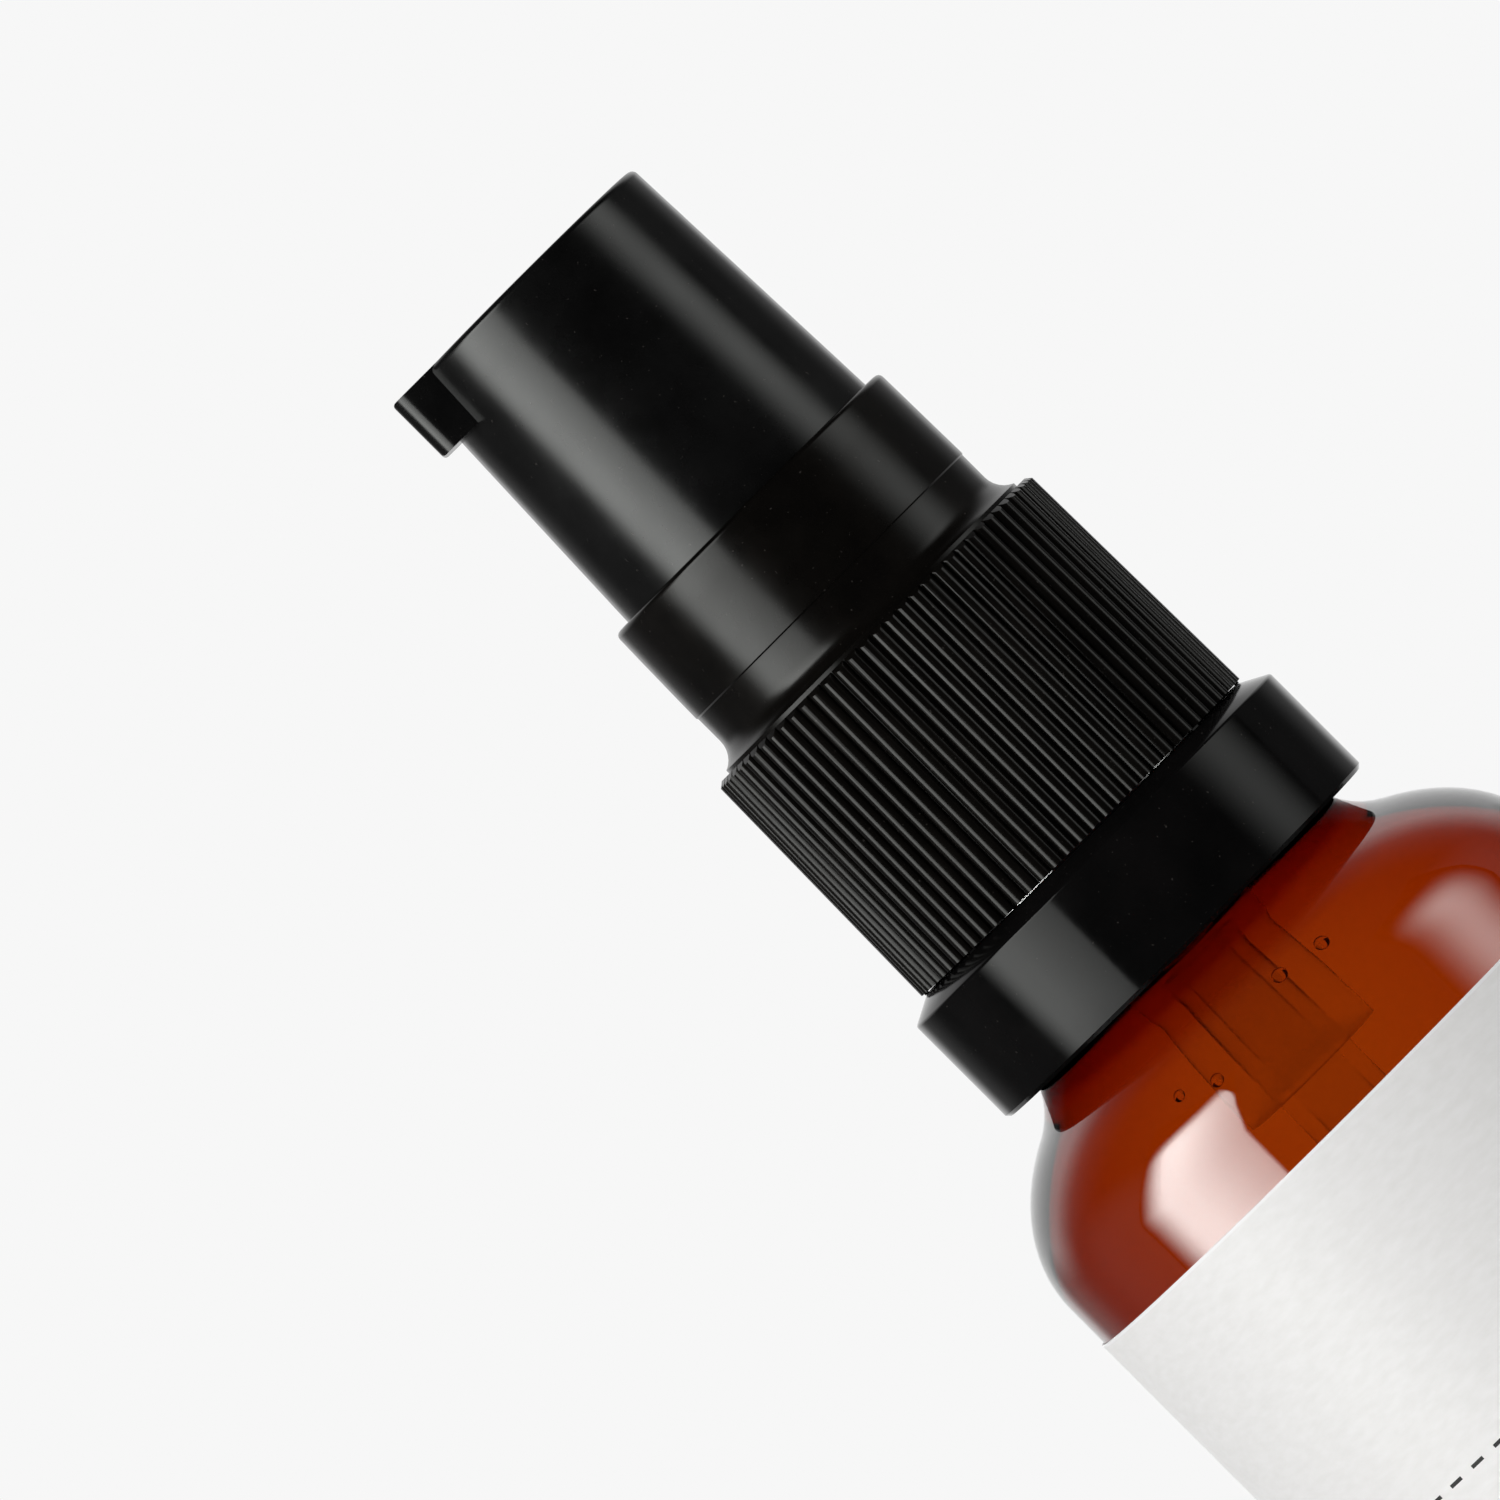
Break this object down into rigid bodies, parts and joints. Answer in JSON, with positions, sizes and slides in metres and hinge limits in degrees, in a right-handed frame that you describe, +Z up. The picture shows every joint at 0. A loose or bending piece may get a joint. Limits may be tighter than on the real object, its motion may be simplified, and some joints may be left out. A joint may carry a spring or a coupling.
{
  "type": "pump oil bottle",
  "caption": "Round amber glass bottle with a screw-on pump: ribbed black collar with a guard tower, tamper band, pressed head with a short side nozzle.",
  "frame": {"origin": "centre of the bottle's foot, on the surface that it stands on", "axes": "+Z up the bottle's axis to the pump head, -X the way the nozzle points, -Y the front of the label"},
  "size_m": [0.0332, 0.0331, 0.1067],
  "materials": {
    "amber_glass": "clear amber glass, fire polished",
    "label_paper": "smooth white coated label",
    "black_cap": "glossy black polypropylene",
    "black_collar": "glossy black polypropylene with moulded ribs",
    "black_head": "satin-gloss black polypropylene",
    "seal": "soft white polyethylene foam",
    "natural_plastic": "natural milky polypropylene",
    "tube_plastic": "natural polyethylene tube",
    "steel_wire": "drawn stainless steel",
    "steel_ball": "polished stainless steel"
  },
  "bodies": {
    "bottle": {"bottle": "amber_glass", "label": "label_paper"},
    "band": {"tamper_band": "black_cap"},
    "gasket": {"gasket": "seal"},
    "pump": {"pump_cylinder": "natural_plastic", "turret": "natural_plastic", "dip_tube": "tube_plastic", "spring": "steel_wire"},
    "collar": {"collar": "black_collar"},
    "piston": {"piston": "seal"},
    "plunger": {"poppet": "natural_plastic"},
    "head": {"stem": "natural_plastic", "actuator": "black_head"},
    "ball": {"check_ball": "steel_ball"}
  },
  "joints": [
    {"name": "band_turn", "type": "hinge", "parent": "bottle", "child": "band", "pos_m": [0, 0, 0.0645], "axis": [0, 0, 1], "continuous": true},
    {"name": "lift_off", "type": "slide", "parent": "bottle", "child": "gasket", "axis": [0, 0, 1], "range_m": [0, 0.08]},
    {"name": "thread_rise", "type": "slide", "parent": "gasket", "child": "pump", "axis": [0, 0, 1], "range_m": [0, 0.0045]},
    {"name": "collar_turn", "type": "hinge", "parent": "pump", "child": "collar", "pos_m": [0, 0, 0.0756], "axis": [0, 0, 1], "range_deg": [0, 540]},
    {"name": "head_press", "type": "slide", "parent": "pump", "child": "plunger", "axis": [0, 0, -1], "range_m": [0, 0.004], "stiffness_N_per_m": 1500, "springref_m": -0.003, "deforming": ["spring"]},
    {"name": "piston_travel", "type": "slide", "parent": "pump", "child": "piston", "axis": [0, 0, -1], "range_m": [0, 0.0032]},
    {"name": "head_swivel", "type": "hinge", "parent": "plunger", "child": "head", "pos_m": [0, 0, 0.0985], "axis": [0, 0, 1], "continuous": true},
    {"name": "ball_lift", "type": "slide", "parent": "pump", "child": "ball", "axis": [0, 0, 1], "range_m": [0, 0.0008]}
  ],
  "couplings": [
    {"joint": "collar_turn", "follows": "thread_rise", "rad_per_m": 2094.4},
    {"joint": "piston_travel", "follows": "head_press", "ratio": 0.8}
  ]
}
